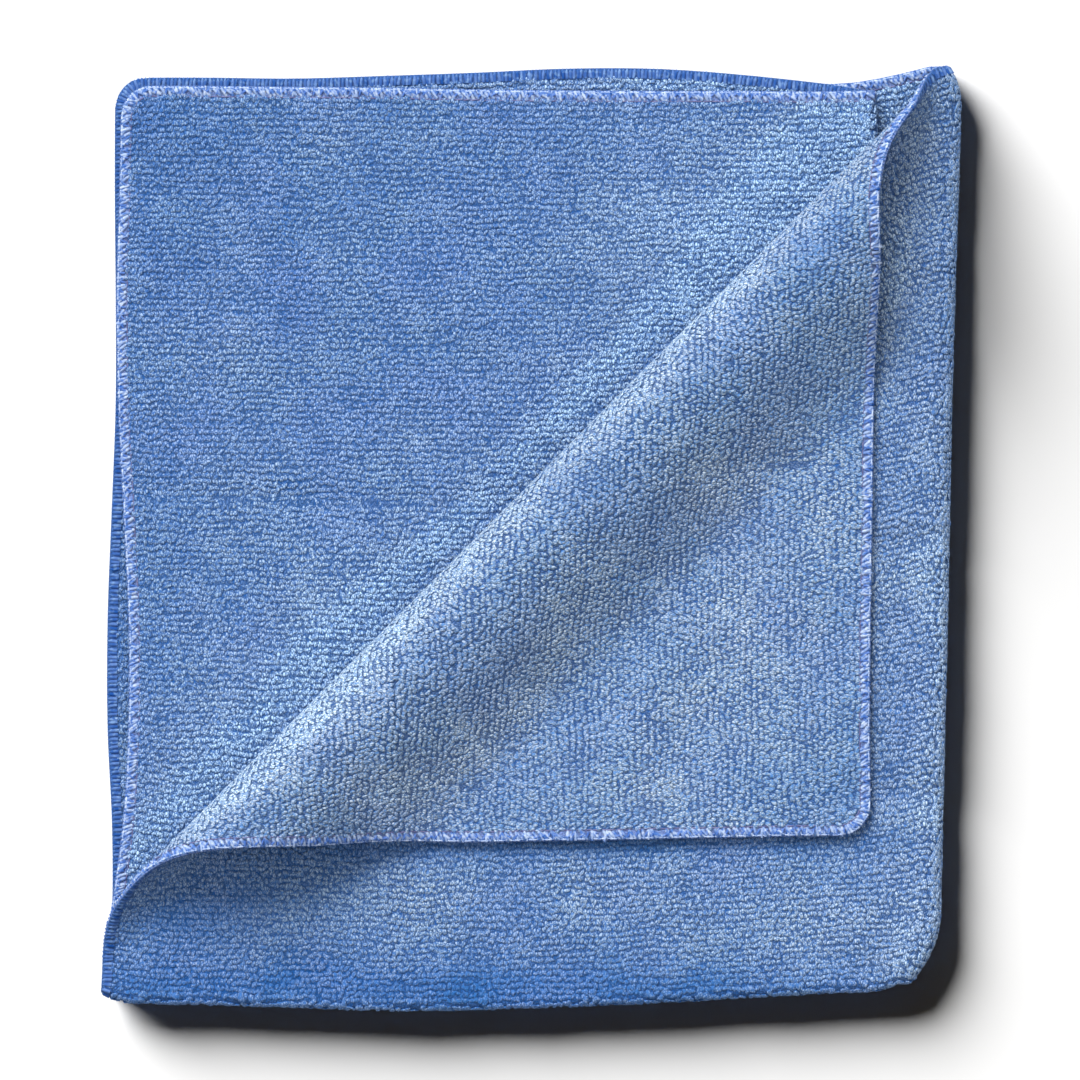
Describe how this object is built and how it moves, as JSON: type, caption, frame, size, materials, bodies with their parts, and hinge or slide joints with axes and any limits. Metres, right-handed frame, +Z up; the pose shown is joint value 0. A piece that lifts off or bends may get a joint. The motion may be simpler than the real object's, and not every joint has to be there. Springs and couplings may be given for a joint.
{
  "type": "folded microfibre cloth",
  "caption": "Terry microfibre cleaning cloth with an overlocked hem, folded in quarters, its top corner peeled back in a soft diagonal roll.",
  "frame": {"origin": "middle of the folded cloth's outline, on the surface that it lies on", "axes": "+Z up, +X towards the right fold that wraps all four layers, +Y away from the bottom folds, along the longer side"},
  "size_m": [0.1921, 0.2112, 0.0279],
  "materials": {
    "blue_terry": "soft matt looped pile, mid blue, with pale lavender and darker blue hem thread"
  },
  "bodies": {
    "root": {"cloth": "blue_terry"}
  },
  "joints": []
}
